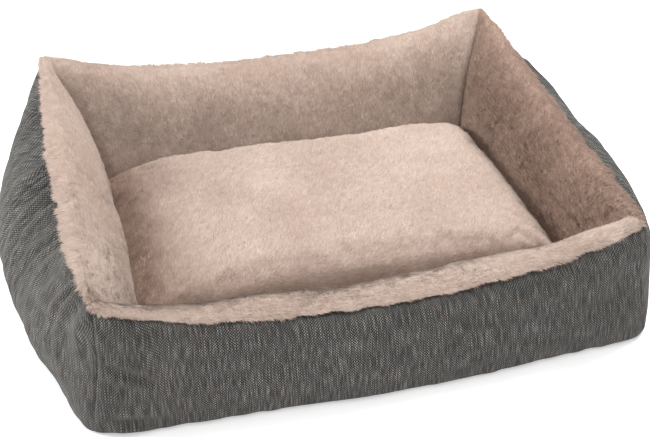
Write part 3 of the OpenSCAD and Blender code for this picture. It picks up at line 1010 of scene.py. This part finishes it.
def cushion_faces(depth):
    """Both faces of the stuffed cover after its simulation, as two grids that share their edge."""
    top, under = cushion_grid(1, depth), cushion_grid(-1, depth)
    rows, columns = top.shape[:2]
    n = rows * columns
    inner = np.zeros((rows, columns), bool)
    inner[1:-1, 1:-1] = True
    index = np.arange(n).reshape(rows, columns)
    below = index.copy()
    below[inner] = n + np.arange(inner.sum())
    verts = np.concatenate([top.reshape(-1, 3), under[inner]])
    quads = grid_faces(rows, columns)
    faces = np.concatenate([quads, below.ravel()[quads][:, ::-1]])
    pinned = np.zeros(len(verts), bool)
    pinned[index[~inner]] = True
    shift = simulate(verts, faces, pinned, 4.0, 0.02, 5 * MM, 0.25, frames=16)
    verts = verts + shift
    return verts[index], verts[below]


def build_cushion():
    top, under = cushion_faces(-1.5 * MM)
    reach = np.linalg.norm(np.abs(top[..., :2] - [0, CUSHION_MIDDLE])
                           - [CUSHION_HALF_X - 25 * MM, CUSHION_HALF_Y - 25 * MM], axis=-1)
    gathers = noise(top * [1, 1, 0.2], 13 * MM, 53) * 1.6 * MM * np.exp(-reach / (26 * MM))
    top = top + grid_normals(top) * (noise(top, 80 * MM, 51) * 2.6 * MM + gathers
                                     + noise(top, 33 * MM, 52) * 1.0 * MM)[..., None]
    # the underside rests flat, and the zip's band lies right at the surface
    out = grid_normals(under[:, ::-1])[:, ::-1]
    under = under - out * (zip_share(under) * 1.5 * MM)[..., None]
    top[[0, -1]], top[:, [0, -1]] = under[[0, -1]], under[:, [0, -1]]
    under[..., 2] = np.maximum(under[..., 2], FLOOR_TOP + 4 * MM)
    under = under[:, ::-1]
    pieces = []
    for name, grid, flow, keep, seed in (
            ("top", top, [0.8, 0.6, 0], None, 300),
            ("bottom", under, [0.2, -0.4, 1.0], 1 - zip_share(under), 340)):
        cover = cloth_object(f"cushion_{name}_plush", grid, grid[..., :2])
        dress(cover, "cushion", "cushion_plush", BACKING, f"cushion_{name}_cover")
        # painted shade: the pile's tones darken towards the cushion's left end, beside the wall
        left_end_painted_shade = np.exp(-(grid[..., 0] - CUSHION_LOW.x) / (30 * MM))
        piles = pile_pieces(f"cushion_{name}_pile", grid, np.zeros_like(grid) + flow, seed,
                            layers=2 if name == "top" else 1, keep=keep, length=4.5 * MM,
                            width=1.1 * MM, lean=0.9, tuft=3.2 * MM, wander=0.4, ruffle=0.9,
                            tones=CUSHION_TONES, contrast=0.65, dark=2.8 * left_end_painted_shade - 0.55)
        for pile in piles:
            dress(pile, "cushion", "cushion_plush", None)
    cushion_core()
    for name, material in (("zip_tapes", ZIP_TAPE), ("zip_teeth", ZIP_TEETH),
                           ("zip_stops", ZIP_METAL), ("zip_slider", ZIP_METAL)):
        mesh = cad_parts[name].data
        mesh.materials.clear()
        mesh.materials.append(material)


def cushion_core():
    """The stuffing of the cushion, a closed form inside its cover."""
    high = cushion_grid(1, 11 * MM, 60, 40)
    low = cushion_grid(-1, 11 * MM, 60, 40)
    rows, columns = high.shape[:2]
    index = np.arange(rows * columns).reshape(rows, columns)
    below = index + rows * columns
    below[[0, -1]], below[:, [0, -1]] = index[[0, -1]], index[:, [0, -1]]
    quads = grid_faces(rows, columns)
    faces = np.concatenate([quads, below.ravel()[quads][:, ::-1]])
    obj = make_object("cushion_stuffing", np.concatenate([high.reshape(-1, 3), low.reshape(-1, 3)]),
                      faces)
    dress(obj, "cushion", "fibre_fill", WADDING, "cushion_filling")


# ---------------------------------------------------------------- camera, light and floor

def build_stage():
    bpy.ops.mesh.primitive_plane_add(size=12, location=(0, 0, 0))
    floor = bpy.context.object
    floor.name = "studio_floor"
    material, tree, shader = new_material("studio_floor")
    shader.inputs["Base Color"].default_value = (0.88, 0.88, 0.88, 1)
    shader.inputs["Roughness"].default_value = 0.8
    shader.inputs["Emission Color"].default_value = (1, 1, 1, 1)
    shader.inputs["Emission Strength"].default_value = 0.35
    floor.data.materials.append(material)

    camera = bpy.data.objects.new("camera", bpy.data.cameras.new("camera"))
    scene.collection.objects.link(camera)
    camera.data.sensor_width = 36
    camera.data.lens = 68.5
    camera.location = (-0.3603, -1.3066, 0.9132)
    camera.rotation_euler = (math.radians(90 - 32.57), math.radians(-0.19), math.radians(-15.69))
    scene.camera = camera

    world = bpy.data.worlds.new("studio")
    scene.world = world
    world.use_nodes = True
    background = world.node_tree.nodes["Background"]
    background.inputs["Color"].default_value = (1, 1, 1, 1)
    background.inputs["Strength"].default_value = 0.34
    for name, place, size, power in (("key", (1.25, 0.8, 2.1), 1.0, 67),
                                     ("fill", (-0.6, -2.5, 1.8), 1.6, 24),
                                     ("top", (-0.2, -0.5, 2.6), 2.0, 24),
                                     ("side", (-2.0, 0.5, 0.85), 0.7, 36)):
        light = bpy.data.lights.new(name, "AREA")
        light.size = size
        light.energy = power
        lamp = bpy.data.objects.new(name, light)
        lamp.location = place
        lamp.rotation_euler = (Vector((0, 0, 0.1)) - Vector(place)).to_track_quat("-Z", "Y").to_euler()
        scene.collection.objects.link(lamp)
    scene.view_settings.view_transform = "Standard"


build_walls()
build_floor()
build_cushion()
build_stage()
